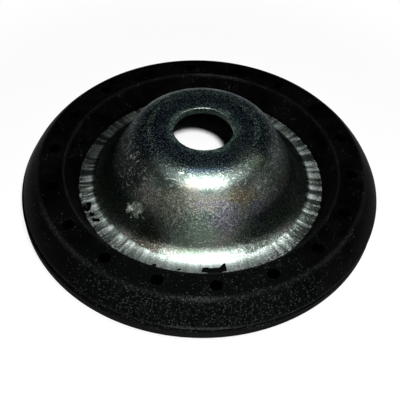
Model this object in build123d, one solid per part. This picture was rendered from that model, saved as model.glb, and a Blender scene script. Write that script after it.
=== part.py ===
from build123d import *
from math import radians, tan
import os

# Spring plate: a pressed steel dome with its flange moulded into a rubber ring.
# Millimetres, +Z up along the axis, origin in the middle of the face the ring stands on.
# Every section is drawn as (radius, height) on the XZ plane and turned round Z.

# Steel plate
sheet_thickness = 3.2
rod_hole_diameter = 26.0
hole_edge_bevel = 0.4           # punched edge, broken above and below
dome_top_diameter = 57.8        # to the corner where the top would meet the wall
dome_foot_diameter = 93.4       # to the corner where the wall would meet the flange
dome_rise = 30.9                # upper face of the flange to the top of the dome
shoulder_radius = 10.5          # outer side
foot_radius = 10.5              # outer side, concave

# Rubber ring, upper side, from the rim inwards
rim_diameter = 160.0            # edge at the foot of the skirt
rim_height = 9.7                # standing face to the rim
rim_edge_height = 0.7           # upright edge below the skirt
skirt_run = 7.6                 # rim in to the crease where the top begins
skirt_swell = 0.8               # how far the skirt's middle stands out from a straight slope
skirt_radius = 25.0
crease_height = 20.0
crease_radius = 2.4
top_width = 11.4                # crease in to the ridge
ridge_height = 19.8
ridge_radius = 0.9
inner_wall_run = 5.3            # ridge in to the bare steel

# Rubber ring, parting groove and lip under the rim
lip_reach = 1.0                 # beyond the rim, the widest part of the ring
lip_height = 7.9                # standing face to the top of the lip
lip_thickness = 3.9
lip_bevel = 0.6                 # upper edge of the lip
groove_depth = 2.0              # in from the lip
edge_cover = 6.0                # rubber between the flange's edge and the rim

# Rubber ring, seat of the spring's end coil underneath, from the lip inwards
bead_setback = 4.0              # lip in to the bead at the standing face
bead_width = 2.5
seat_width = 16.2               # at the standing face
seat_depth = 3.0                # standing face up to the seat
seat_draft = 15.0               # degrees, lean of the seat's walls
rubber_under_flange = 2.5
collar_width = 5.5              # collar that centres the coil, all under flat flange
foot_bevel = 0.8                # edges of the collar and the bead at the standing face

# Blind pockets in the top of the rubber
pocket_count = 18
pocket_diameter = 5.2
pocket_depth = 6.0
pocket_setback = 5.7            # crease in to the pockets' middles
pocket_first_angle = -83.2      # degrees from +X

# Radii and heights that follow
rim = rim_diameter / 2
crease = rim - skirt_run
ridge = crease - top_width
bare_steel = ridge - inner_wall_run
flange_edge = rim - edge_cover
pocket_circle = crease - pocket_setback
lip = rim + lip_reach
bead = lip - bead_setback
seat_outside = bead - bead_width
seat_inside = seat_outside - seat_width
collar_inside = seat_inside - collar_width
flange_underside = seat_depth + rubber_under_flange
flange_top = flange_underside + sheet_thickness
mid_flange = flange_underside + sheet_thickness / 2
dome_top = flange_top + dome_rise


def turned_outline(corners):
    """Solid of revolution from a closed outline of (radius, height, corner radius)."""
    points = [(radius, height) for radius, height, _ in corners]
    roundings = [rounding for _, _, rounding in corners]
    with BuildPart() as turned:
        with BuildSketch(Plane.XZ):
            with BuildLine():
                FilletPolyline(*points, radius=roundings, close=True)
            make_face()
        revolve(axis=Axis.Z)
    return turned.part


def build_steel_plate():
    # The sheet's outer face is one line with two bends. The inner face is that line moved in
    # by the thickness, so the sheet is equally thick round both bends.
    with BuildPart() as plate:
        with BuildSketch(Plane.XZ):
            with BuildLine():
                FilletPolyline(
                    (rod_hole_diameter / 2, dome_top),
                    (dome_top_diameter / 2, dome_top),
                    (dome_foot_diameter / 2, flange_top),
                    (flange_edge, flange_top),
                    radius=[shoulder_radius, foot_radius],
                )
                offset(amount=sheet_thickness, side=Side.RIGHT)
            make_face()
        revolve(axis=Axis.Z)
        hole_wall = plate.faces().filter_by(GeomType.CYLINDER).sort_by(SortBy.RADIUS)[0]
        chamfer(hole_wall.edges().filter_by(GeomType.CIRCLE), hole_edge_bevel)
    return plate.part


def upper_side():
    """Corners from the parting groove over the skirt and the top to the bare steel."""
    return [
        (lip - groove_depth, rim_height - rim_edge_height, 0),
        (rim, rim_height - rim_edge_height, 0),
        (rim, rim_height, 0),
        (
            (rim + crease) / 2 + skirt_swell,
            (rim_height + crease_height) / 2 + skirt_swell,
            skirt_radius,
        ),
        (crease, crease_height, crease_radius),
        (ridge, ridge_height, ridge_radius),
        (bare_steel, flange_top, 0),
        (bare_steel, mid_flange, 0),
    ]


def underside():
    """Corners from inside the sheet down the collar, over the seat and out to the lip."""
    seat_lean = seat_depth * tan(radians(seat_draft))
    return [
        (collar_inside, mid_flange, 0),
        (collar_inside, 0, 0),
        (seat_inside, 0, 0),
        (seat_inside + seat_lean, seat_depth, 0),
        (seat_outside - seat_lean, seat_depth, 0),
        (seat_outside, 0, 0),
        (bead, 0, 0),
        (lip, lip_height - lip_thickness, 0),
        (lip, lip_height - lip_bevel, 0),
        (lip - lip_bevel, lip_height, 0),
        (lip - groove_depth, lip_height, 0),
    ]


def build_rubber_ring(steel_plate):
    top_slope = (crease_height - ridge_height) / top_width
    pocket_mouth = ridge_height + top_slope * (pocket_circle - ridge)
    with BuildPart() as ring:
        add(turned_outline(underside() + upper_side()))
        chamfer(ring.edges().filter_by(GeomType.CIRCLE).group_by(Axis.Z)[0], foot_bevel)
        with Locations((0, 0, pocket_mouth - pocket_depth)):
            with PolarLocations(pocket_circle, pocket_count, start_angle=pocket_first_angle):
                Cylinder(
                    pocket_diameter / 2,
                    2 * pocket_depth,
                    align=(Align.CENTER, Align.CENTER, Align.MIN),
                    mode=Mode.SUBTRACT,
                )
        # The steel's own solid makes the slot that holds its flange.
        add(steel_plate, mode=Mode.SUBTRACT)
    return ring.part


steel_plate = build_steel_plate()
rubber_ring = build_rubber_ring(steel_plate)

os.makedirs("parts", exist_ok=True)
export_step(steel_plate, "parts/steel_plate.step")
export_step(rubber_ring, "parts/rubber_ring.step")
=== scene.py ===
import math

import bpy
from mathutils import Matrix, Vector, noise


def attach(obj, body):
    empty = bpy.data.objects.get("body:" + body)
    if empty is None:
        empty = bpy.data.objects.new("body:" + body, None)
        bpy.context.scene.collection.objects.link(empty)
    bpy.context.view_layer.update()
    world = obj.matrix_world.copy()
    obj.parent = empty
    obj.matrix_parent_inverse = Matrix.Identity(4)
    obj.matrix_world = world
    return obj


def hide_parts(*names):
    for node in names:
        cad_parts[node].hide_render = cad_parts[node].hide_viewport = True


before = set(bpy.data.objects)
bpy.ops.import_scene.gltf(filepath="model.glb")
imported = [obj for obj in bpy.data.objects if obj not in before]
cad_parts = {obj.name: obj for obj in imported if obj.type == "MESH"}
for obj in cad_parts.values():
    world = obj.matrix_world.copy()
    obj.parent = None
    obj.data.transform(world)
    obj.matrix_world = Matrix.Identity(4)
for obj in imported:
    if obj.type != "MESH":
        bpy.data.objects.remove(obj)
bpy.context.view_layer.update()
print("frame loaded:", ", ".join(sorted(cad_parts)))

mm = 0.001
columns = 360                     # both pieces are turned in the same steps, so their faces meet
firstAngle = math.radians(-83.2)  # direction of the first pocket
touching = 0.01                   # how closely heights are compared, and how far a lump sinks in
fewestSteps = 3                   # in a rounding, however small


# Drawing and turning the sections

def roundedLine(corners, arcStep, longest):
    # corners are (radius, height, rounding), once round the section
    points = []
    for i, (r, z, rounding) in enumerate(corners):
        here = Vector((r, z))
        back = (Vector(corners[i - 1][:2]) - here).normalized()
        on = (Vector(corners[(i + 1) % len(corners)][:2]) - here).normalized()
        if rounding <= 0:
            points.append(here)
            continue
        half = back.angle(on) / 2
        middle = here + (back + on).normalized() * (rounding / math.sin(half))
        start = here + back * (rounding / math.tan(half)) - middle
        end = here + on * (rounding / math.tan(half)) - middle
        turn = math.atan2(start.cross(end), start.dot(end))
        steps = max(fewestSteps, math.ceil(abs(math.degrees(turn)) / arcStep))
        points += [middle + Matrix.Rotation(turn * k / steps, 2) @ start for k in range(steps + 1)]
    filled = []
    for point, following in zip(points, points[1:]):
        parts = max(1, math.ceil((following - point).length / longest))
        filled += [point.lerp(following, k / parts) for k in range(parts)]
    return filled + [points[-1]]


def place(r, z, angle):
    return Vector((r * math.cos(angle), r * math.sin(angle), z)) * mm


def columnAt(k):
    return firstAngle + k * 2 * math.pi / columns


def makePiece(name, points, faces, materials, node):
    # faces are (corners, which material)
    mesh = bpy.data.meshes.new(name)
    mesh.from_pydata(points, [], [corners for corners, _ in faces])
    for material in materials:
        mesh.materials.append(material)
    mesh.polygons.foreach_set("material_index", [which for _, which in faces])
    mesh.shade_smooth()
    piece = bpy.data.objects.new(name, mesh)
    bpy.context.scene.collection.objects.link(piece)
    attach(piece, "root")
    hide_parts(node)
    print(name, "made:", len(faces), "faces")
    return piece


# Materials. Sockets go by number where names repeat: in a Map Range the value, the band and the levels are
# 0 to 4, and in a Mix the share is 0, numbers are 2 and 3, and colours are 6 and 7 with the result in 2.

smooth = {"interpolation_type": "SMOOTHSTEP"}
ofColours = {"data_type": "RGBA"}
ofNumbers = {"data_type": "FLOAT"}
noiseSpan = (0.3, 0.7)      # most of a noise's values
noiseCore = (0.35, 0.65)


def linear(hexColour):
    levels = [int(hexColour[i:i + 2], 16) / 255 for i in (1, 3, 5)]
    return [v / 12.92 if v <= 0.04045 else ((v + 0.055) / 1.055) ** 2.4 for v in levels] + [1.0]


def newMaterial(name):
    material = bpy.data.materials.new(name)
    material.use_nodes = True
    material.node_tree.nodes.clear()
    return material, material.node_tree


def addNode(tree, kind, inputs, output=0, **settings):
    # adds a node, links each input that is another node's output and sets the others
    node = tree.nodes.new("ShaderNode" + kind)
    for name, value in settings.items():
        setattr(node, name, value)
    for socket, value in inputs.items():
        if isinstance(value, bpy.types.NodeSocket):
            tree.links.new(value, node.inputs[socket])
        else:
            node.inputs[socket].default_value = value
    return node.outputs[output] if node.outputs else node


def between(value, band, levels=(0.0, 1.0)):
    # inputs that take a value from levels[0] to levels[1] as it runs through the band
    return {0: value, 1: band[0], 2: band[1], 3: levels[0], 4: levels[1]}


def inMillimetres(tree):
    metres = addNode(tree, "TexCoord", {}, "Object")
    return addNode(tree, "VectorMath", {0: metres, "Scale": 1 / mm}, operation="SCALE")


def radiusOf(tree, spot):
    flat = addNode(tree, "VectorMath", {0: spot, 1: (1, 1, 0)}, operation="MULTIPLY")
    return addNode(tree, "VectorMath", {0: flat}, "Value", operation="LENGTH")


def offFrom(tree, value, middle):
    # how far a value is from a middle one, on either side
    off = addNode(tree, "Math", {0: value, 1: middle}, operation="SUBTRACT")
    return addNode(tree, "Math", {0: off}, operation="ABSOLUTE")


def around(tree, spot, centre, band, levels=(0.0, 1.0)):
    # goes from levels[0] to levels[1] as the distance from a centre runs through the band
    azimuth, r, z = centre
    middle = place(r, z, math.radians(azimuth)) / mm
    away = addNode(tree, "VectorMath", {0: spot, 1: middle}, "Value", operation="DISTANCE")
    return addNode(tree, "MapRange", between(away, band, levels), **smooth)


def tintAmount(tree, spot, azimuth, r, z, reach):
    core = 0.35 * reach       # full colour within this distance
    return around(tree, spot, (azimuth, r, z), (reach, core))


def layTints(tree, colour, spot, tints):
    # lays colours over another, each round its own place
    for azimuth, r, z, reach, shade in tints:
        amount = tintAmount(tree, spot, azimuth, r, z, reach)
        colour = addNode(tree, "Mix", {0: amount, 6: colour, 7: linear(shade)}, 2, **ofColours)
    return colour


def ledAstray(tree, spot, width, reach):
    # the same places moved about by noise, so that edges drawn by them wander
    moved = addNode(tree, "TexNoise", {"Vector": spot, "Scale": 1 / width, "Detail": 2.0}, "Color")
    moved = addNode(tree, "VectorMath", {0: moved, 1: (reach,) * 3, 2: spot}, operation="MULTIPLY_ADD")
    return addNode(tree, "VectorMath", {0: moved, 1: (reach / 2,) * 3}, operation="SUBTRACT")


def setStops(colour, stops):
    # positions and colours along a Color Ramp
    ramp = colour.node.color_ramp
    while len(ramp.elements) < len(stops):
        ramp.elements.new(0.5)
    for element, (where, shade) in zip(ramp.elements, stops):
        element.position, element.color = where, linear(shade)


# Steel plate

steelPlate = {
    "sheet": 3.2,
    "holeRadius": 13.0,
    "holeEdge": 0.4,
    "domeTop": 39.6,
    "flangeTop": 8.7,
    "topCorner": 28.9,              # where the top would meet the wall
    "footCorner": 46.7,             # where the wall would meet the flange
    "bend": 10.5,                   # outer radius of both bends
    "flangeEdge": 74.0,
    "arcStep": 4.0,                 # degrees from point to point round a bend
    "longest": 2.0,                 # from point to point elsewhere

    # Passivation film, whose colours drift over patches
    "film": [
        (0.32, "#727c79"), (0.42, "#7f8e85"), (0.50, "#8b938d"), (0.58, "#919084"), (0.68, "#84858f"),
    ],
    "filmPatch": 9.0,
    "filmWander": (5.0, 7.0),       # how wide and how far the edges of its colours wander
    "shoulderFilm": "#687770",
    "shoulderHeights": (36.5, 38.8),
    "topFilm": "#7f9dc8",           # thickest and bluest on the flat top
    "topHeights": (39.2, 39.6),
    "rimFilm": "#c0e0cc",           # worn thin round the hole
    "rimRadii": (16.8, 13.6),
    # Film colours in places, and painted shade on the sides, the back and round both highlights: direction,
    # radius, height, reach, colour
    "tints": [
        (-58, 33.8, 31.1, 9, "#8a8069"), (-72, 38.0, 23.8, 9, "#8b8b96"), (-50, 39.0, 22.0, 9, "#7a7c88"),
        (-95, 41.5, 17.5, 13, "#7b8c7c"), (-118, 45.6, 11.7, 11, "#4c483f"),
        (-108, 34.5, 29.5, 11, "#7f8272"), (-165, 38.0, 24.0, 26, "#2e3531"),
        (-168, 29.5, 36.0, 17, "#171b19"), (-12, 38.0, 24.0, 24, "#444a45"), (-22, 29.5, 36.0, 15, "#4a534d"),
        (-20, 42.5, 16.0, 11, "#85787e"), (-172, 43.0, 15.0, 12, "#465746"), (20, 34.0, 31.0, 14, "#474d48"),
        (-44, 17.0, 39.6, 11, "#8cd0a4"), (-38, 24.0, 39.5, 8, "#b4d4ac"), (-158, 20.5, 39.6, 9, "#5c6686"),
        (-62, 21.5, 39.6, 6, "#5c6c90"), (-100, 20.0, 39.6, 8, "#66809a"), (90, 19.0, 39.6, 14, "#6d8088"),
        (-190, 31.0, 33.5, 17, "#151817"), (-190, 38.0, 24.0, 14, "#1c201e"), (12, 31.0, 33.5, 16, "#1f2321"),
        (-147, 33.5, 31.6, 14, "#242724"), (-117, 25.5, 39.0, 7, "#5a6868"), (160, 29.0, 37.8, 14, "#363c39"),
        (105, 28.5, 38.0, 15, "#444b47"), (50, 29.0, 37.8, 14, "#3d4440"), (-120, 28.7, 37.8, 11, "#4d5853"),
        (-55, 28.7, 37.8, 10, "#56615b"), (-58, 46.5, 11.3, 10, "#565f59"),
    ],
    # Whitish deposit, the same way, with a dark edge round it
    "smudges": [(-131.5, 40.0, 20.2, 5.6, "#505b51"), (-135.8, 41.0, 18.6, 3.0, "#b4beb0")],
    "smudgeWander": (1.4, 9.0),
    "smudgeRough": 0.3,             # rougher by this

    # Plating grain, drawn coarser than the real 0.1 so that it shows
    "grainWidth": 0.7,
    "grainDepth": 0.05,
    "grainTones": (0.35, 1.45),
    # painted glints: fine bright points in the colour
    "sparkleWidth": 0.5,
    "sparkleCut": (0.61, 0.70),     # noise above this shines
    "sparkle": 2.0,                 # how much brighter the finest points are
    "topSparkle": 5.0,              # times as much on the flat top
    "sparkleHeights": (38.2, 39.4),
    "topTone": 0.5,                 # and the grain under it darker
    "toneHeights": (37.6, 39.2),
    # Where the grain is evened and painted brighter as a highlight, on the shoulder and foot in front:
    # direction, radius, height, reach
    "paintedHighlightSpots": [(-88, 30.0, 37.0, 13), (-122, 29.0, 37.6, 10), (-56, 29.0, 37.6, 10), (-88, 46.8, 11.0, 18)],
    "smoothCore": 0.4,              # share of the reach that is fully smoothed
    "smoothShare": 0.65,
    "paintedHighlightTone": 1.2,
    "flangePlain": 0.6,             # share of the grain's tones that the flange loses
    "scratch": "#e8ece8",           # fine light scratches, drawn out three ways
    "scratchStretches": [(0.6, 0.6, 2.4), (2.4, 0.6, 0.6), (1.6, 1.6, 0.5)],
    "scratchCut": (0.72, 0.77),
    "scratchShare": 0.55,

    # Thin pale oxide over all the steel, blue-grey on the top and grey-green below it
    "veil": "#7fa0ad",
    "wallVeil": "#7c9682",
    "wornVeil": "#8aac9e",
    "veilShare": 0.009,
    "holeVeil": 4.0,                # thicker by this near the hole
    "turnVeil": 1.4,                # and by this in a ring where the top begins to turn down
    "turnRadius": 23.2,
    "turnWidths": (2.0, 0.4),
    "rough": (0.52, 0.55),
    "flangeRough": 0.85,            # matt where the press held the sheet
    "roughRadii": (47.7, 51.3),

    # Flange: draw marks, in broad runs under fine ones
    "flangeRadii": (47.9, 48.6),
    "flangeHeights": (10.8, 10.2),
    "markRadius": 52.0,
    "markWidth": 0.85,              # at that radius
    "markLength": 9.0,
    "broadTimes": 3.0,
    "broadShare": 0.45,
    "markGrit": 0.8,                # small dents that break the marks up, most to the right
    "gritAcross": (-20.0, 20.0),
    "gritShares": (0.15, 0.5),
    "blocksBeyond": (38.0, 50.0),   # this far to either side the marks run together into blocks
    "blockCut": (0.42, 0.56),
    "blockTones": (-0.10, 0.06),
    "paintedHighlightSide": -90,                # the front, where the marks are evened and painted paler as a highlight
    "calmReach": (42.0, 20.0),
    "calmShare": 0.75,
    "paintedHighlightMarkTone": 0.78,
    "markTones": [(0.58, "#343b37"), (0.72, "#78827c"), (0.86, "#bec8c6")],
    "holeWall": "#78827c",
    "holeWallRadii": (13.5, 13.1),
    "fadeRadii": (49.0, 52.3),      # duller from the foot outwards
    "fadeTones": (1.3, 0.50),
    "spotRadii": (51.8, 54.6),      # dark spots next to the rubber
    "spotWidth": 1.1,
    "spotCut": (0.42, 0.58),
    "spotTones": (0.2, 0.95),
    # Stretches made darker or lighter: direction, radius, full within, gone beyond, tone
    "stretches": [(-196, 54.0, 10.0, 32.0, 0.4), (143, 52.0, 16.0, 42.0, 0.4), (-34, 51.0, 8.0, 24.0, 1.35)],

    # Underside, which stays thin and dull, its grey darkened as painted shade inside the dome
    "underside": "#24272a",
    "undersidePatch": 6.0,
    "undersideTones": (0.75, 1.1),
    "undersideGrain": 0.8,
    "undersideDepth": 0.03,
}


def steelSection(steel):
    rise = steel["domeTop"] - steel["flangeTop"]
    wallAngle = math.atan2(rise, steel["footCorner"] - steel["topCorner"])
    inset = steel["sheet"] * math.tan(wallAngle / 2)
    under, below = steel["domeTop"] - steel["sheet"], steel["flangeTop"] - steel["sheet"]
    return roundedLine([
        (steel["holeRadius"], steel["domeTop"], steel["holeEdge"]),
        (steel["topCorner"], steel["domeTop"], steel["bend"]),
        (steel["footCorner"], steel["flangeTop"], steel["bend"]),
        (steel["flangeEdge"], steel["flangeTop"], 0),
        (steel["flangeEdge"], below, 0),
        (steel["footCorner"] - inset, below, steel["bend"] + steel["sheet"]),
        (steel["topCorner"] - inset, under, steel["bend"] - steel["sheet"]),
        (steel["holeRadius"], under, steel["holeEdge"]),
    ], steel["arcStep"], steel["longest"])


def streaks(tree, spot, radius, atRadius, width, length, detail):
    # noise drawn out into streaks that run away from the axis
    flat = addNode(tree, "VectorMath", {0: spot, 1: (1, 1, 0)}, operation="MULTIPLY")
    outward = addNode(tree, "VectorMath", {0: flat}, operation="NORMALIZE")
    turned = addNode(tree, "VectorMath", {0: outward, "Scale": atRadius / width}, operation="SCALE")
    lifted = addNode(tree, "Math", {0: radius, 1: 1 / length}, operation="MULTIPLY")
    lifted = addNode(tree, "CombineXYZ", {2: lifted})
    at = addNode(tree, "VectorMath", {0: turned, 1: lifted}, operation="ADD")
    return addNode(tree, "TexNoise", {"Vector": at, "Scale": 1.0, "Detail": detail, "Roughness": 0.6})


def drawMarks(tree, steel, spot, wandering, radius):
    # the flange's marks as a height, and as a colour
    width, length, times = steel["markWidth"], steel["markLength"], steel["broadTimes"]
    broad = streaks(tree, spot, radius, steel["markRadius"], times * width, times * length, detail=0.0)
    fine = streaks(tree, spot, radius, steel["markRadius"], width, length, detail=3.0)
    grit = addNode(tree, "TexNoise", {"Vector": spot, "Scale": 1 / steel["markGrit"], "Detail": 2.0})
    across = addNode(tree, "SeparateXYZ", {0: wandering}, "X")
    gritty = addNode(tree, "MapRange", between(across, steel["gritAcross"], steel["gritShares"]))
    fine = addNode(tree, "Mix", {0: gritty, 2: fine, 3: grit}, **ofNumbers)
    marks = addNode(tree, "Math", {0: broad, 1: steel["broadShare"], 2: fine}, operation="MULTIPLY_ADD")
    sideways = addNode(tree, "Math", {0: across}, operation="ABSOLUTE")
    sideways = addNode(tree, "MapRange", between(sideways, steel["blocksBeyond"]), **smooth)
    blocks = addNode(tree, "MapRange", between(broad, steel["blockCut"], steel["blockTones"]))
    marks = addNode(tree, "Math", {0: blocks, 1: sideways, 2: marks}, operation="MULTIPLY_ADD")
    # painted highlight: in front the marks are evened to a paler tone
    evenedUnderHighlight = around(tree, wandering, (steel["paintedHighlightSide"], steel["markRadius"], steel["flangeTop"]),
                  steel["calmReach"], (0.0, steel["calmShare"]))
    shown = addNode(tree, "Mix", {0: evenedUnderHighlight, 2: marks, 3: steel["paintedHighlightMarkTone"]}, **ofNumbers)
    colour = addNode(tree, "ValToRGB", {"Fac": shown})
    setStops(colour, steel["markTones"])

    dull = addNode(tree, "MapRange", between(radius, steel["fadeRadii"], steel["fadeTones"]), **smooth)
    outer = addNode(tree, "MapRange", between(radius, steel["spotRadii"]), **smooth)
    spots = addNode(tree, "TexNoise", {"Vector": spot, "Scale": 1 / steel["spotWidth"], "Detail": 2.0})
    spots = addNode(tree, "MapRange", between(spots, steel["spotCut"], steel["spotTones"]))
    spotted = addNode(tree, "Mix", {0: outer, 2: 1.0, 3: spots}, **ofNumbers)
    dull = addNode(tree, "Math", {0: dull, 1: spotted}, operation="MULTIPLY")
    for azimuth, r, full, none, tone in steel["stretches"]:
        nearby = around(tree, wandering, (azimuth, r, steel["flangeTop"]), (full, none), (tone, 1.0))
        dull = addNode(tree, "Math", {0: dull, 1: nearby}, operation="MULTIPLY")
    return marks, addNode(tree, "VectorMath", {0: colour, "Scale": dull}, operation="SCALE")


def zincSteel(steel):
    # Deep-drawn sheet steel, bright zinc electroplate with a blue passivation, handled and worn. The eye sees
    # a grainy sparkle, a dark blue, green and brown film, fine scratches, and draw marks across the flange.
    material, tree = newMaterial("zincPlatedDrawnSteel")
    spot = inMillimetres(tree)
    radius = radiusOf(tree, spot)
    height = addNode(tree, "SeparateXYZ", {0: spot}, "Z")
    wandering = ledAstray(tree, spot, *steel["filmWander"])
    grain = addNode(tree, "TexNoise", {"Vector": spot, "Scale": 1 / steel["grainWidth"], "Detail": 1.0})
    cloud = addNode(tree, "TexNoise", {"Vector": spot, "Scale": 1 / steel["filmPatch"], "Detail": 3.0})

    # The film, from the wall up over the shoulder and the top to the worn edge of the hole
    colour = addNode(tree, "ValToRGB", {"Fac": cloud})
    setStops(colour, steel["film"])
    onShoulder = addNode(tree, "MapRange", between(height, steel["shoulderHeights"]), **smooth)
    onTop = addNode(tree, "MapRange", between(height, steel["topHeights"]), **smooth)
    nearHole = radiusOf(tree, wandering)
    nearHole = addNode(tree, "MapRange", between(nearHole, steel["rimRadii"]), **smooth)
    for amount, film in ((onShoulder, "shoulderFilm"), (onTop, "topFilm"), (nearHole, "rimFilm")):
        colour = addNode(tree, "Mix", {0: amount, 6: colour, 7: linear(steel[film])}, 2, **ofColours)
    # the film colours, and the painted shade on the sides, the back and round both highlights
    colour = layTints(tree, colour, wandering, steel["tints"])

    # The flange and the wall of the hole
    marks, marksColour = drawMarks(tree, steel, spot, wandering, radius)
    beyondFoot = addNode(tree, "MapRange", between(radius, steel["flangeRadii"]), **smooth)
    low = addNode(tree, "MapRange", between(height, steel["flangeHeights"]))
    onFlange = addNode(tree, "Math", {0: beyondFoot, 1: low}, operation="MULTIPLY")
    colour = addNode(tree, "Mix", {0: onFlange, 6: colour, 7: marksColour}, 2, **ofColours)
    inHole = addNode(tree, "MapRange", between(radius, steel["holeWallRadii"]))
    colour = addNode(tree, "Mix", {0: inHole, 6: colour, 7: linear(steel["holeWall"])}, 2, **ofColours)

    # The deposit on the wall
    ragged = ledAstray(tree, spot, *steel["smudgeWander"])
    deposit = 0.0
    for azimuth, r, z, reach, shade in steel["smudges"]:
        amount = tintAmount(tree, ragged, azimuth, r, z, reach)
        colour = addNode(tree, "Mix", {0: amount, 6: colour, 7: linear(shade)}, 2, **ofColours)
        deposit = addNode(tree, "Math", {0: amount, 1: deposit}, operation="MAXIMUM")

    # The grain: light and dark, with fine bright points painted in as glints, most on the top
    shine = addNode(tree, "TexNoise", {"Vector": spot, "Scale": 1 / steel["sparkleWidth"], "Detail": 0.0})
    shine = addNode(tree, "MapRange", between(shine, steel["sparkleCut"], (0.0, steel["sparkle"])))
    stronger = addNode(tree, "MapRange", between(height, steel["sparkleHeights"], (1.0, steel["topSparkle"])))
    shine = addNode(tree, "Math", {0: shine, 1: stronger}, operation="MULTIPLY")
    tone = addNode(tree, "MapRange", between(grain, noiseSpan, steel["grainTones"]))
    deeper = addNode(tree, "MapRange", between(height, steel["toneHeights"], (1.0, steel["topTone"])))
    tone = addNode(tree, "Math", {0: tone, 1: deeper, 2: shine}, operation="MULTIPLY_ADD")
    # painted highlight: the grain evened and brightened where the shoulder and foot highlights fall
    for azimuth, r, z, reach in steel["paintedHighlightSpots"]:
        core = steel["smoothCore"] * reach
        amount = around(tree, spot, (azimuth, r, z), (reach, core), (0.0, steel["smoothShare"]))
        tone = addNode(tree, "Mix", {0: amount, 2: tone, 3: steel["paintedHighlightTone"]}, **ofNumbers)
    plainer = addNode(tree, "Math", {0: onFlange, 1: steel["flangePlain"]}, operation="MULTIPLY")
    tone = addNode(tree, "Mix", {0: plainer, 2: tone, 3: 1.0}, **ofNumbers)
    colour = addNode(tree, "VectorMath", {0: colour, "Scale": tone}, operation="SCALE")

    offFlange = addNode(tree, "Math", {0: 1.0, 1: onFlange}, operation="SUBTRACT")
    for stretch in steel["scratchStretches"]:
        lines = addNode(tree, "VectorMath", {0: wandering, 1: stretch}, operation="DIVIDE")
        lines = addNode(tree, "TexNoise", {"Vector": lines, "Scale": 1.0, "Detail": 0.0})
        lines = addNode(tree, "MapRange", between(lines, steel["scratchCut"], (0.0, steel["scratchShare"])))
        lines = addNode(tree, "Math", {0: lines, 1: offFlange}, operation="MULTIPLY")
        colour = addNode(tree, "Mix", {0: lines, 6: colour, 7: linear(steel["scratch"])}, 2, **ofColours)

    # The oxide, thickest round the hole and in a ring where the top turns down
    turning = offFrom(tree, radius, steel["turnRadius"])
    turning = addNode(tree, "MapRange", between(turning, steel["turnWidths"]), **smooth)
    thicker = addNode(tree, "Math", {0: nearHole, 1: steel["holeVeil"], 2: 1.0}, operation="MULTIPLY_ADD")
    thicker = addNode(tree, "Math", {0: turning, 1: steel["turnVeil"], 2: thicker}, operation="MULTIPLY_ADD")
    thicker = addNode(tree, "Math", {0: thicker, 1: tone}, operation="MULTIPLY")
    worn = addNode(tree, "Math", {0: nearHole, 1: turning}, operation="MAXIMUM")
    veils = {0: onShoulder, 6: linear(steel["wallVeil"]), 7: linear(steel["veil"])}
    veil = addNode(tree, "Mix", veils, 2, **ofColours)
    veil = addNode(tree, "Mix", {0: worn, 6: veil, 7: linear(steel["wornVeil"])}, 2, **ofColours)
    veil = addNode(tree, "VectorMath", {0: veil, "Scale": thicker}, operation="SCALE")

    rough = addNode(tree, "MapRange", between(cloud, noiseSpan, steel["rough"]))
    rough = addNode(tree, "Math", {0: deposit, 1: steel["smudgeRough"], 2: rough}, operation="MULTIPLY_ADD")
    matt = addNode(tree, "MapRange", between(radius, steel["roughRadii"]), **smooth)
    rough = addNode(tree, "Mix", {0: matt, 2: rough, 3: steel["flangeRough"]}, **ofNumbers)
    relief = addNode(tree, "Math", {0: onFlange, 1: marks, 2: grain}, operation="MULTIPLY_ADD")
    bump = addNode(tree, "Bump", {"Strength": 1.0, "Distance": steel["grainDepth"] * mm, "Height": relief})
    shader = addNode(tree, "BsdfMetallic", {"Base Color": colour, "Roughness": rough, "Normal": bump},
                     distribution="BECKMANN")
    oxide = addNode(tree, "BsdfDiffuse", {"Color": veil, "Normal": bump})
    shader = addNode(tree, "MixShader", {0: steel["veilShare"], 1: shader, 2: oxide})
    addNode(tree, "OutputMaterial", {"Surface": shader})
    return material


def dullZinc(steel):
    # The same plating inside the dome, where it stays thin and dull, its grey darkened as painted shade in
    # there, without the sparkle.
    material, tree = newMaterial("thinDullZincUndersideShaded")
    spot = inMillimetres(tree)
    cloud = addNode(tree, "TexNoise", {"Vector": spot, "Scale": 1 / steel["undersidePatch"], "Detail": 4.0})
    grain = addNode(tree, "TexNoise", {"Vector": spot, "Scale": 1 / steel["undersideGrain"], "Detail": 2.0})
    tone = addNode(tree, "MapRange", between(cloud, noiseSpan, steel["undersideTones"]))
    grey = linear(steel["underside"])[:3]
    colour = addNode(tree, "VectorMath", {0: grey, "Scale": tone}, operation="SCALE")
    bump = addNode(tree, "Bump", {"Strength": 1.0, "Distance": steel["undersideDepth"] * mm, "Height": grain})
    shader = addNode(tree, "BsdfPrincipled", {"Base Color": colour, "Metallic": 0.9, "Roughness": 0.5,
                                              "Normal": bump})
    addNode(tree, "OutputMaterial", {"Surface": shader})
    return material


def makeSteelPlate(steel):
    section = steelSection(steel)
    points, faces = [], []
    for r, z in section:
        points += [place(r, z, columnAt(k)) for k in range(columns)]
    turning = section.index(max(section, key=lambda p: (p.x, p.y)))   # the flange's upper edge
    holeRows = 5                                                      # lower edge and wall of the hole
    for i in range(len(section)):
        which = 0 if i < turning or i >= len(section) - holeRows else 1
        following = (i + 1) % len(section)
        for k in range(columns):
            beside = (k + 1) % columns
            corners = ((i, k), (following, k), (following, beside), (i, beside))
            faces.append((tuple(row * columns + column for row, column in corners), which))
    materials = [zincSteel(steel), dullZinc(steel)]
    makePiece("steelPlate", points, faces, materials, "steel_plate")


# Rubber ring

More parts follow.
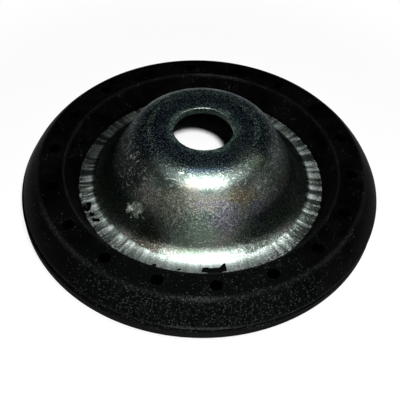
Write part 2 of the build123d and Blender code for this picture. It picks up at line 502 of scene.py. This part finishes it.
rubberRing = {
    "rim": 80.0, "rimTop": 9.7, "rimEdge": 0.7,
    "crease": 72.4, "creaseTop": 20.0, "creaseRounding": 2.4,
    "swell": 0.8, "skirtRounding": 25.0,
    "ridge": 61.0, "ridgeTop": 19.8, "ridgeRounding": 0.9,
    "bareSteel": 55.7,
    "lip": 80.7, "lipMost": 81.0, "lipTop": 7.9, "lipBottom": 4.0, "lipEdge": 0.6,
    "groove": 79.0, "fine": 0.2,
    "bead": 77.0, "beadEdge": 0.8,
    "seatOutside": 74.5, "seatInside": 58.3, "seatTop": 3.0, "seatLean": 0.8, "seatCorner": 0.5,
    "collar": 52.8,
    "arcStep": 12.0,                # degrees from point to point round a rounding
    "longest": 1.6,                 # from point to point elsewhere
    "mouldShift": 0.9,              # the lower mould half sat this far to -X

    # Blind pockets
    "pockets": 18, "pocketCircle": 66.7, "pocketRadius": 2.6, "pocketDepth": 6.0, "pocketEdge": 0.35,
    "pocketTaper": 0.08,            # narrower by this at the foot of the wall
    "pocketWall": 0.4,              # the wall ends this far above the floor
    "pocketFloor": [(0.2, 0.12), (0.5, 0.0)],   # rounding at the floor: in from the wall, up from the floor

    # Torn edge on the bare steel: raggedness, how far in it lies, how high it reaches
    "torn": 0.45, "tornInset": 0.15, "tornHeight": 3.0,
    "tornWaves": [(24, 7.0, 1.0), (60, 0.0, 0.6)],   # noise scale, offset and weight
    # Flash of rubber left on the steel: outlines as direction and radius
    "flash": [
        [(-159.6, 51.8), (-157.6, 51.6), (-154.9, 52.7), (-154.5, 54.0), (-155.3, 55.6), (-158.1, 55.4),
         (-158.0, 54.2), (-156.8, 54.1), (-156.9, 53.7), (-158.3, 53.6), (-159.7, 53.4)],
        [(-152.5, 51.8), (-150.9, 52.2), (-151.0, 53.9), (-151.9, 54.1), (-153.9, 53.1), (-152.4, 52.9)],
        [(-147.4, 51.0), (-146.1, 51.4), (-147.3, 53.9), (-148.0, 54.2), (-149.9, 53.6), (-148.8, 52.8),
         (-148.1, 52.0)],
        [(-110.0, 53.2), (-108.6, 52.6), (-108.1, 53.2), (-108.9, 55.4), (-110.5, 55.4)],
        [(-99.0, 52.9), (-97.7, 51.9), (-97.0, 52.3), (-97.4, 52.7), (-98.2, 53.2)],
        [(-87.2, 50.9), (-84.6, 50.7), (-84.2, 51.1), (-79.4, 51.2), (-77.6, 49.8), (-76.4, 49.5),
         (-76.2, 51.4), (-76.4, 53.2), (-77.6, 53.0), (-79.2, 53.7), (-84.4, 53.5), (-85.5, 53.1),
         (-87.8, 52.8)],
    ],
    "flashThickness": 0.25,

    # Colours
    "black": "#020202",
    "bloom": "#050505",             # faint grey cast in patches
    "bloomPatch": 12.0,
    "haze": "#050606",              # the finest dust, in front
    # painted shade in the pockets
    "pocketShadeBlack": "#000000",
    "pocketHeights": (19.5, 19.0),
    "pocketMargin": 0.1,            # round their circle, beyond their own radius
    "lipGrey": "#101110",
    "lipHeights": (7.8, 7.3),
    "lipRadii": (79.5, 80.0),
    "sheen": "#151715",             # painted sheen where the edges turn, and rubbed grey where hands and parts touch it
    "sheenAndRubBands": [(72.8, 1.3), (61.2, 0.9), (80.0, 0.45)],    # crease, ridge and rim: radius, half width
    "sheenAndRubAbove": (8.9, 9.2),
    # Where the painted sheen and the rubbing are strongest: direction, radius, height, reach, colour
    "sheenAndRubSpots": [
        (84, 61.5, 19.8, 17, "#2b2e2b"), (-141, 73.0, 19.4, 26, "#202220"), (-40, 73.0, 19.4, 18, "#1b1d1b"),
        (-88, 80.0, 9.7, 18, "#383b38"),
    ],

    # Dust: single specks, most of them on the skirt in front
    "dust": "#727770",
    "dustPlace": (-90.0, 76.0, 14.0),    # direction, radius and height of the dustiest part
    "dustReach": (66.0, 24.0),
    "dustShare": 0.34,              # of the specks that show where it is dustiest
    "skirtRadii": (70.5, 74.0),
    "skirtDust": (0.25, 1.0),       # inside the skirt, and on it
    "crumbs": 0.16,                 # the same where crumbs gather elsewhere
    "crumbPatch": 6.0,
    "crumbCut": (0.45, 0.7),
    "cleanSteel": (56.0, 57.0),     # none on the edge next to the steel
    "speck": 0.34,                  # between specks, drawn coarser than the real 0.2 so that they show
    "speckSize": (0.45, 0.2),       # shares of that
    "speckPower": 3.0,              # the higher, the fewer are bright

    # Surface
    "skinGrain": 0.9,
    "skinDepth": 0.03,
    "rough": (0.42, 0.52),
    "lipRough": 0.2,                # rougher by this on the lip
    "pocketRough": 0.4,             # and in the pockets
}


def ringSection(ring, steel):
    below = steel["flangeTop"] - steel["sheet"]
    return roundedLine([
        (ring["crease"], ring["creaseTop"], ring["creaseRounding"]),
        ((ring["rim"] + ring["crease"]) / 2 + ring["swell"],
         (ring["rimTop"] + ring["creaseTop"]) / 2 + ring["swell"], ring["skirtRounding"]),
        (ring["rim"], ring["rimTop"], ring["fine"]),
        (ring["rim"], ring["rimTop"] - ring["rimEdge"], ring["fine"]),
        (ring["groove"], ring["rimTop"] - ring["rimEdge"], ring["fine"]),
        (ring["groove"], ring["lipTop"], ring["fine"]),
        (ring["lip"], ring["lipTop"], ring["lipEdge"]),
        (ring["lip"], ring["lipBottom"], ring["lipEdge"]),
        (ring["bead"], 0, ring["beadEdge"]),
        (ring["seatOutside"], 0, ring["beadEdge"]),
        (ring["seatOutside"] - ring["seatLean"], ring["seatTop"], ring["seatCorner"]),
        (ring["seatInside"] + ring["seatLean"], ring["seatTop"], ring["seatCorner"]),
        (ring["seatInside"], 0, ring["beadEdge"]),
        (ring["collar"], 0, ring["beadEdge"]),
        (ring["collar"], below, 0),
        (steel["flangeEdge"], below, 0),
        (steel["flangeEdge"], steel["flangeTop"], 0),
        (ring["bareSteel"], steel["flangeTop"], 0),
        (ring["ridge"], ring["ridgeTop"], ring["ridgeRounding"]),
    ], ring["arcStep"], ring["longest"])


def mouldedRubber(ring):
    # Compression-moulded rubber filled with carbon black: deep black, a soft sheen where it turns, painted
    # sheen and rubbed grey on its edges, a fine moulding grain and pale dust.
    material, tree = newMaterial("mouldedBlackRubber")
    spot = inMillimetres(tree)
    radius = radiusOf(tree, spot)
    height = addNode(tree, "SeparateXYZ", {0: spot}, "Z")
    skin = addNode(tree, "TexNoise", {"Vector": spot, "Scale": 1 / ring["skinGrain"], "Detail": 3.0,
                                      "Roughness": 0.6})
    cloud = addNode(tree, "TexNoise", {"Vector": spot, "Scale": 1 / ring["bloomPatch"], "Detail": 3.0})
    patch = addNode(tree, "MapRange", between(cloud, noiseCore), **smooth)
    greys = {0: patch, 6: linear(ring["black"]), 7: linear(ring["bloom"])}
    colour = addNode(tree, "Mix", greys, 2, **ofColours)
    front = around(tree, spot, ring["dustPlace"], ring["dustReach"])
    colour = addNode(tree, "Mix", {0: front, 6: colour, 7: linear(ring["haze"])}, 2, **ofColours)

    # Painted sheen and rubbed grey on the edges, uneven as the skin is
    sheenAndRub = 0.0
    for middle, half in ring["sheenAndRubBands"]:
        band = offFrom(tree, radius, middle)
        band = addNode(tree, "MapRange", between(band, (half, 0.0)))
        sheenAndRub = addNode(tree, "Math", {0: band, 1: sheenAndRub}, operation="MAXIMUM")
    above = addNode(tree, "MapRange", between(height, ring["sheenAndRubAbove"]))
    sheenAndRub = addNode(tree, "Math", {0: sheenAndRub, 1: above}, operation="MULTIPLY")
    uneven = addNode(tree, "MapRange", between(skin, noiseCore))
    sheenAndRub = addNode(tree, "Math", {0: sheenAndRub, 1: uneven}, operation="MULTIPLY")
    bright = layTints(tree, linear(ring["sheen"]), spot, ring["sheenAndRubSpots"])
    colour = addNode(tree, "Mix", {0: sheenAndRub, 6: colour, 7: bright}, 2, **ofColours)

    # Dust: each speck is drawn or not by a number of its own, and few are bright
    specks = addNode(tree, "TexVoronoi", {"Vector": spot, "Scale": 1 / ring["speck"]})
    grains = addNode(tree, "MapRange", between(specks, ring["speckSize"]))
    lot = addNode(tree, "SeparateXYZ", {0: specks.node.outputs["Color"]})
    onSkirt = addNode(tree, "MapRange", between(radius, ring["skirtRadii"]), **smooth)
    denser = addNode(tree, "MapRange", between(onSkirt, (0.0, 1.0), ring["skirtDust"]))
    denser = addNode(tree, "Math", {0: front, 1: denser}, operation="MULTIPLY")
    gather = addNode(tree, "TexNoise", {"Vector": spot, "Scale": 1 / ring["crumbPatch"], "Detail": 2.0})
    gather = addNode(tree, "MapRange", between(gather, ring["crumbCut"], (0.0, ring["crumbs"])))
    chance = addNode(tree, "Math", {0: denser, 1: ring["dustShare"], 2: gather}, operation="MULTIPLY_ADD")
    offSteel = addNode(tree, "MapRange", between(radius, ring["cleanSteel"]))
    chance = addNode(tree, "Math", {0: chance, 1: offSteel}, operation="MULTIPLY")
    picked = addNode(tree, "Math", {0: lot, 1: chance}, operation="LESS_THAN")
    dim = addNode(tree, "Math", {0: lot.node.outputs["Y"], 1: ring["speckPower"]}, operation="POWER")
    dust = addNode(tree, "Math", {0: picked, 1: grains}, operation="MULTIPLY")
    dust = addNode(tree, "Math", {0: dust, 1: dim}, operation="MULTIPLY")
    colour = addNode(tree, "Mix", {0: dust, 6: colour, 7: linear(ring["dust"])}, 2, **ofColours)

    # The pockets are painted black as shade, the lip is greyer
    inPocket = addNode(tree, "MapRange", between(height, ring["pocketHeights"]))
    halfWidth = ring["pocketRadius"] + ring["pocketMargin"]
    pockets = addNode(tree, "Math", {0: radius, 1: ring["pocketCircle"], 2: halfWidth}, operation="COMPARE")
    inPocket = addNode(tree, "Math", {0: inPocket, 1: pockets}, operation="MULTIPLY")
    colour = addNode(tree, "Mix", {0: inPocket, 6: colour, 7: linear(ring["pocketShadeBlack"])}, 2, **ofColours)
    below = addNode(tree, "MapRange", between(height, ring["lipHeights"]))
    outside = addNode(tree, "MapRange", between(radius, ring["lipRadii"]))
    onLip = addNode(tree, "Math", {0: below, 1: outside}, operation="MULTIPLY")
    colour = addNode(tree, "Mix", {0: onLip, 6: colour, 7: linear(ring["lipGrey"])}, 2, **ofColours)

    rough = addNode(tree, "MapRange", between(cloud, noiseSpan, ring["rough"]))
    rough = addNode(tree, "Math", {0: onLip, 1: ring["lipRough"], 2: rough}, operation="MULTIPLY_ADD")
    rough = addNode(tree, "Math", {0: inPocket, 1: ring["pocketRough"], 2: rough}, operation="MULTIPLY_ADD")
    bump = addNode(tree, "Bump", {"Strength": 1.0, "Distance": ring["skinDepth"] * mm, "Height": skin})
    # The low IOR keeps the sheen off faces seen at a slant, as the rubber's rough skin does.
    shader = addNode(tree, "BsdfPrincipled", {"Base Color": colour, "Metallic": 0.0, "Roughness": rough,
                                              "IOR": 1.05, "Normal": bump})
    addNode(tree, "OutputMaterial", {"Surface": shader})
    return material


def overFlange(steel, r):
    # height of the steel's upper face where its foot runs out into the flange
    wallAngle = math.atan2(steel["domeTop"] - steel["flangeTop"], steel["footCorner"] - steel["topCorner"])
    inside = max(0.0, steel["footCorner"] + steel["bend"] * math.tan(wallAngle / 2) - r)
    return steel["flangeTop"] + steel["bend"] - math.sqrt(steel["bend"] ** 2 - inside ** 2)


def addFlash(points, faces, outline, steel, thickness):
    # a thin closed lump that lies on the steel
    under, top = [[place(r, overFlange(steel, r) + lift, math.radians(azimuth)) for azimuth, r in outline]
                  for lift in (-touching, thickness)]
    turn = sum(a.x * b.y - a.y * b.x for a, b in zip(under, under[1:] + under[:1]))
    if turn < 0:
        under, top = under[::-1], top[::-1]
    first, count = len(points), len(outline)
    points += under + top
    faces.append((tuple(first + j for j in reversed(range(count))), 0))
    faces.append((tuple(first + count + j for j in range(count)), 0))
    for j in range(count):
        k = (j + 1) % count
        faces.append(((first + j, first + k, first + count + k, first + count + j), 0))


def settle(ring, steel, r, z, angle):
    # the torn edge on the bare steel, and the shifted lower mould half
    if r < ring["ridge"] and z > steel["flangeTop"] - touching:
        direction = Vector((math.cos(angle), math.sin(angle), 0))
        torn = sum(weight * noise.noise(direction * scale + Vector((offset, 0, 0)))
                   for scale, offset, weight in ring["tornWaves"])
        nearFoot = max(0.0, 1 - (z - steel["flangeTop"]) / ring["tornHeight"])
        r -= nearFoot * (ring["tornInset"] + ring["torn"] * torn)
    if z < ring["lipTop"] + touching and r > ring["seatOutside"]:
        share = min(1.0, z / ring["lipBottom"])
        r = min(ring["lipMost"], r - share * ring["mouldShift"] * math.cos(angle))
    return place(r, z, angle)


def addRing(points, faces, before, here):
    # joins a closed row of new points to the row before it
    points += here
    made = list(range(len(points) - len(here), len(points)))
    for j in range(len(made)):
        k = (j + 1) % len(made)
        faces.append(((before[j], before[k], made[k], made[j]), 0))
    return made


def pocketProfile(ring):
    # radius and drop below the rubber's top: over the rounded mouth, down the wall and over the floor
    edge, radius, depth = ring["pocketEdge"], ring["pocketRadius"], ring["pocketDepth"]
    mouthAngles, wallSteps = [math.radians(d) for d in (0, 30, 60, 90)], 4
    profile = [(radius + edge * (1 - math.sin(a)), -edge * (1 - math.cos(a))) for a in mouthAngles]
    wall = depth - edge - ring["pocketWall"]
    profile += [(radius - ring["pocketTaper"] * k / wallSteps, -edge - wall * k / wallSteps)
                for k in range(1, wallSteps + 1)]
    profile += [(radius - inward, up - depth) for inward, up in ring["pocketFloor"]]
    return profile + [(radius / 2, -depth)]


def makeRubberRing(ring, steel):
    section = ringSection(ring, steel)
    flatRows, halfWindow = 8, 4           # the window round a pocket is 8 by 8 faces
    inner, outer = section[-1], section[0]
    lines = section + [inner.lerp(outer, k / flatRows) for k in range(1, flatRows)]
    firstFlat = len(section) - 1
    each = columns // ring["pockets"]
    points, faces, index = [], [], {}
    for i, (r, z) in enumerate(lines):
        for k in range(columns):
            fromPocket = (k + each // 2) % each - each // 2
            if i > firstFlat and abs(fromPocket) < halfWindow:
                continue
            index[i, k] = len(points)
            points.append(settle(ring, steel, r, z, columnAt(k)))
    for i in range(len(lines)):
        for k in range(columns):
            fromPocket = (k + each // 2) % each - each // 2
            if i >= firstFlat and -halfWindow <= fromPocket < halfWindow:
                continue
            following, beside = (i + 1) % len(lines), (k + 1) % columns
            faces.append(((index[i, k], index[following, k], index[following, beside], index[i, beside]), 0))

    # Each pocket: rings from its window to its mouth, then down its profile to the middle of its floor.
    mouthZ = inner.lerp(outer, (ring["pocketCircle"] - inner.x) / (outer.x - inner.x)).y
    profile = pocketProfile(ring)
    windowShares = (0.4, 0.75)
    for pocket in range(ring["pockets"]):
        middle = pocket * each
        window = [(row, -halfWindow) for row in range(flatRows)]
        window += [(flatRows, k) for k in range(-halfWindow, halfWindow)]
        window += [(flatRows - row, halfWindow) for row in range(flatRows)]
        window += [(0, -k) for k in range(-halfWindow, halfWindow)]
        frameRing = [index[(firstFlat + row) % len(lines), (middle + k) % columns] for row, k in window]
        centre = place(ring["pocketCircle"], mouthZ, columnAt(middle))
        bearings = [math.atan2(points[p].y - centre.y, points[p].x - centre.x) for p in frameRing]
        spokes = [Vector((math.cos(b), math.sin(b), 0)) for b in bearings]
        mouth = [centre + spoke * profile[0][0] * mm for spoke in spokes]
        before = frameRing
        for share in windowShares:
            here = [points[p].lerp(m, share) for p, m in zip(frameRing, mouth)]
            before = addRing(points, faces, before, here)
        for r, drop in profile:
            here = [centre + (spoke * r + Vector((0, 0, drop))) * mm for spoke in spokes]
            before = addRing(points, faces, before, here)
        points.append(centre + Vector((0, 0, -ring["pocketDepth"])) * mm)
        for j in range(len(before)):
            faces.append(((before[j], before[(j + 1) % len(before)], len(points) - 1), 0))
    moulded = len(faces)
    for outline in ring["flash"]:
        addFlash(points, faces, outline, steel, ring["flashThickness"])
    piece = makePiece("rubberRing", points, faces, [mouldedRubber(ring)], "rubber_ring")
    for face in piece.data.polygons[moulded:]:
        face.use_smooth = False


makeSteelPlate(steelPlate)
makeRubberRing(rubberRing, steelPlate)


# Camera, as in the photograph

cameraView = {
    "elevation": 46.97, "distance": 315.2, "roll": 2.79, "lens": 61.74,
    "nearest": 10.0,               # nothing closer than this is drawn
    "aimHeight": 9.7,              # the camera faces the middle of the rim
    "aimPixel": (201.08, 176.17),  # where that point lies in the photograph
    "middlePixel": (200, 200),     # of a photograph 400 pixels wide and high
    "focalPixels": 686.0,
}


def makeCamera(view):
    data = bpy.data.cameras.new("photoCamera")
    data.lens = view["lens"]
    data.clip_start = view["nearest"] * mm
    camera = bpy.data.objects.new("photoCamera", data)
    bpy.context.scene.collection.objects.link(camera)
    rise = math.radians(view["elevation"])
    pixelX, pixelY = view["aimPixel"]
    middleX, middleY = view["middlePixel"]
    aside, above = (pixelX - middleX) / view["focalPixels"], (middleY - pixelY) / view["focalPixels"]
    turn = Vector((aside, above, -1)).rotation_difference(Vector((0, 0, -1))).to_matrix()
    facing = Matrix.Rotation(math.pi / 2 - rise, 3, "X") @ Matrix.Rotation(math.radians(view["roll"]), 3, "Z")
    back, up = view["distance"] * math.cos(rise), view["distance"] * math.sin(rise)
    standpoint = Vector((0, -back, view["aimHeight"] + up)) * mm
    camera.matrix_world = Matrix.Translation(standpoint) @ (facing @ turn).to_4x4()
    bpy.context.scene.camera = camera
    print("camera made")


makeCamera(cameraView)


# Floor and light

studio = {
    "floor": "#f6f6f6",
    "floorReach": 3.0,              # metres each way
    "plain": "#ffffff",
    "white": 0.9,                   # how far the floor beyond the part is lifted to plain white
    "whiteRadii": (70.0, 76.0),     # not under the dome
    "fullRadii": (120.0, 200.0),    # wholly white beyond these
    "dimRadii": (550.0, 1300.0),    # and dimmer far away
    "dimmed": 0.4,
    "room": "#121213",
    # Azimuth and elevation in degrees, distance and width in metres, watts
    "lamps": {
        "keyLamp": (-80, 58, 0.333, 0.024, 1.6),
        "leftFill": (160, 42, 1.2, 0.6, 0.08),
        "rightFill": (5, 40, 1.2, 0.5, 0.14),
    },
}


def addLamp(name, azimuth, elevation, distance, width, watts):
    data = bpy.data.lights.new(name, "AREA")
    data.shape, data.size, data.energy = "DISK", width, watts
    lamp = bpy.data.objects.new(name, data)
    bpy.context.scene.collection.objects.link(lamp)
    rise = math.radians(elevation)
    lamp.location = place(math.cos(rise), math.sin(rise), math.radians(azimuth)) / mm * distance
    lamp.rotation_euler = (-lamp.location).to_track_quat("-Z", "Y").to_euler()


def paleFloor(light):
    # Matt white paper: it takes the part's shadow, and looks plain white to the camera and in reflections.
    material, tree = newMaterial("paleFloor")
    radius = radiusOf(tree, inMillimetres(tree))
    paper = addNode(tree, "BsdfDiffuse", {"Color": linear(light["floor"])})
    plain = addNode(tree, "Emission", {"Color": linear(light["plain"]), "Strength": 1.0})
    seen = addNode(tree, "LightPath", {}, "Is Camera Ray")
    rays = seen.node.outputs
    for kind in ("Is Glossy Ray", "Is Transmission Ray"):
        seen = addNode(tree, "Math", {0: seen, 1: rays[kind]}, operation="MAXIMUM")
    beyond = addNode(tree, "MapRange", between(radius, light["whiteRadii"], (0.0, light["white"])))
    far = addNode(tree, "MapRange", between(radius, light["fullRadii"], (0.0, 1 - light["white"])), **smooth)
    near = addNode(tree, "MapRange", between(radius, light["dimRadii"], (1.0, light["dimmed"])),
                   interpolation_type="SMOOTHERSTEP")
    beyond = addNode(tree, "Math", {0: beyond, 1: far}, operation="ADD")
    share = addNode(tree, "Math", {0: seen, 1: beyond}, operation="MULTIPLY")
    share = addNode(tree, "Math", {0: share, 1: near}, operation="MULTIPLY")
    surface = addNode(tree, "MixShader", {0: share, 1: paper, 2: plain})
    addNode(tree, "OutputMaterial", {"Surface": surface})
    return material


def makeFloor(light):
    reach = light["floorReach"]
    mesh = bpy.data.meshes.new("floor")
    mesh.from_pydata([(-reach, -reach, 0), (reach, -reach, 0), (reach, reach, 0), (-reach, reach, 0)],
                     [], [(0, 1, 2, 3)])
    mesh.materials.append(paleFloor(light))
    floor = bpy.data.objects.new("floor", mesh)
    bpy.context.scene.collection.objects.link(floor)


def makeStudio(light):
    makeFloor(light)
    for name, settings in light["lamps"].items():
        addLamp(name, *settings)
    world = bpy.data.worlds.new("room")
    world.use_nodes = True
    world.node_tree.nodes["Background"].inputs["Color"].default_value = linear(light["room"])
    bpy.context.scene.world = world
    bpy.context.scene.view_settings.view_transform = "Standard"
    print("studio made:", len(light["lamps"]), "lamps")


makeStudio(studio)
